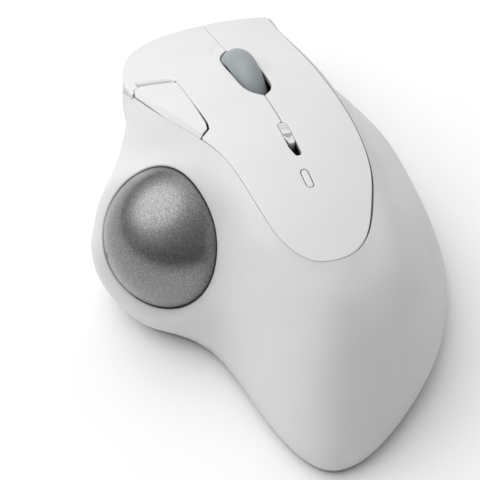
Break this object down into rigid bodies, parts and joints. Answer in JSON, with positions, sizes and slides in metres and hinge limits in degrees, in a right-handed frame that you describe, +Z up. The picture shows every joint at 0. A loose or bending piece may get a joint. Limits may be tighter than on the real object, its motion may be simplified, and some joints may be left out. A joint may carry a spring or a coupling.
{
  "type": "thumb trackball mouse",
  "caption": "Thumb-operated trackball mouse: palm-shaped casing with a large side ball on roller bearings, two main keys, scroll wheel and a thumb rocker key.",
  "frame": {"origin": "on the desk surface, under the middle of the footprint's bounding box", "axes": "+Y to the front of the mouse (key tips), +X to the user's right, +Z up"},
  "size_m": [0.0868, 0.1326, 0.0498],
  "materials": {
    "shell": "moulded, fine matt texture, light grey-white",
    "keys": "moulded, smooth matt, near white",
    "lens": "milky translucent plastic",
    "ball_metal": "metallic grey ball with fine sparkle, polished",
    "tyre_grey": "smooth soft-touch grey-blue",
    "dark_plastic": "dark moulded plastic",
    "holder_plastic": "grey-brown moulded plastic",
    "steel": "polished bearing steel",
    "circuit_board": "green board with thin varnish",
    "copper_alloy": "plated spring bronze",
    "cell_wrap": "printed sleeve, plain",
    "glide": "slippery white glide plastic"
  },
  "bodies": {
    "casing": {"upper_shell": "shell", "base_tray": "shell", "rear_cover": "keys", "indicator_lens": "lens", "thumb_key_pin": "steel", "ball_cup": "dark_plastic", "bearing_holder_1": "holder_plastic", "bearing_holder_2": "holder_plastic", "bearing_holder_3": "holder_plastic", "bearing_pin_1": "steel", "bearing_pin_2": "steel", "bearing_pin_3": "steel", "sensor_lens": "lens", "optical_sensor": "dark_plastic", "main_board": "circuit_board", "key_board": "circuit_board", "left_microswitch": "dark_plastic", "right_microswitch": "dark_plastic", "wheel_microswitch": "dark_plastic", "switch_board": "circuit_board", "speed_switch": "steel", "indicator_led": "lens", "thumb_board": "circuit_board", "thumb_microswitch_front": "dark_plastic", "thumb_microswitch_rear": "dark_plastic", "aa_cell": "cell_wrap", "contact_plate": "copper_alloy", "contact_spring": "steel", "glide_foot_1": "glide", "glide_foot_2": "glide", "glide_foot_3": "glide", "glide_foot_4": "glide", "case_screw_1": "steel", "case_screw_2": "steel", "case_screw_3": "steel", "case_screw_4": "steel"},
    "left_key": {"left_button": "keys"},
    "right_key": {"right_button": "keys"},
    "thumb_rocker": {"thumb_key": "keys"},
    "speed_slider": {"speed_knob": "keys"},
    "thumb_ball": {"ball": "ball_metal"},
    "ring_1": {"bearing_ring_1": "steel"},
    "ring_2": {"bearing_ring_2": "steel"},
    "ring_3": {"bearing_ring_3": "steel"},
    "wheel_carrier": {"scroll_carrier": "dark_plastic", "scroll_encoder": "copper_alloy"},
    "scroll_wheel": {"scroll_tyre": "tyre_grey", "scroll_hub": "dark_plastic"},
    "door": {"battery_door": "shell"},
    "power_slider": {"power_knob": "dark_plastic"},
    "mode_key": {"mode_button": "dark_plastic"}
  },
  "joints": [
    {"name": "left_key_press", "type": "hinge", "parent": "casing", "child": "left_key", "pos_m": [-0.00212, -0.00801, 0.04714], "axis": [-1, 0, 0], "range_deg": [0, 0.3], "stiffness_Nm_per_rad": 9},
    {"name": "right_key_press", "type": "hinge", "parent": "casing", "child": "right_key", "pos_m": [0.01488, -0.00801, 0.04714], "axis": [-1, 0, 0], "range_deg": [0, 0.3], "stiffness_Nm_per_rad": 9},
    {"name": "thumb_key_rock", "type": "hinge", "parent": "casing", "child": "thumb_rocker", "pos_m": [-0.01562, 0.02298, 0.0386], "axis": [1, 0, 0], "range_deg": [-0.8, 0.8], "stiffness_Nm_per_rad": 1.5},
    {"name": "speed_select", "type": "slide", "parent": "casing", "child": "speed_slider", "axis": [0, -1, 0], "range_m": [0, 0.004]},
    {"name": "ball_roll", "type": "hinge", "parent": "casing", "child": "thumb_ball", "pos_m": [-0.02352, -0.00072, 0.0246], "axis": [1, 0, 0], "continuous": true},
    {"name": "bearing_1_roll", "type": "hinge", "parent": "casing", "child": "ring_1", "pos_m": [-0.00734, 0.01034, 0.01886], "axis": [-0.5643, 0.8256, 0], "continuous": true},
    {"name": "bearing_2_roll", "type": "hinge", "parent": "casing", "child": "ring_2", "pos_m": [-0.01739, -0.01235, 0.00898], "axis": [0.8849, 0.4657, 0], "continuous": true},
    {"name": "bearing_3_roll", "type": "hinge", "parent": "casing", "child": "ring_3", "pos_m": [-0.02964, 0.01092, 0.00898], "axis": [-0.8849, -0.4657, 0], "continuous": true},
    {"name": "wheel_click", "type": "slide", "parent": "casing", "child": "wheel_carrier", "axis": [0, 0, -1], "range_m": [0, 0.0005], "stiffness_N_per_m": 900},
    {"name": "wheel_roll", "type": "hinge", "parent": "wheel_carrier", "child": "scroll_wheel", "pos_m": [0.00663, 0.03248, 0.0295], "axis": [1, 0, 0], "continuous": true},
    {"name": "battery_door_open", "type": "hinge", "parent": "casing", "child": "door", "pos_m": [0.00438, -0.00117, 0.0007], "axis": [1, 0, 0], "range_deg": [0, 100]},
    {"name": "power_select", "type": "slide", "parent": "casing", "child": "power_slider", "axis": [0, 1, 0], "range_m": [0, 0.003]},
    {"name": "mode_press", "type": "slide", "parent": "casing", "child": "mode_key", "axis": [0, 0, 1], "range_m": [0, 0.0004], "stiffness_N_per_m": 800}
  ],
  "couplings": [
    {"joint": "bearing_1_roll", "follows": "ball_roll", "ratio": 4.4163},
    {"joint": "bearing_2_roll", "follows": "ball_roll", "ratio": -6.9254},
    {"joint": "bearing_3_roll", "follows": "ball_roll", "ratio": 6.9254}
  ]
}
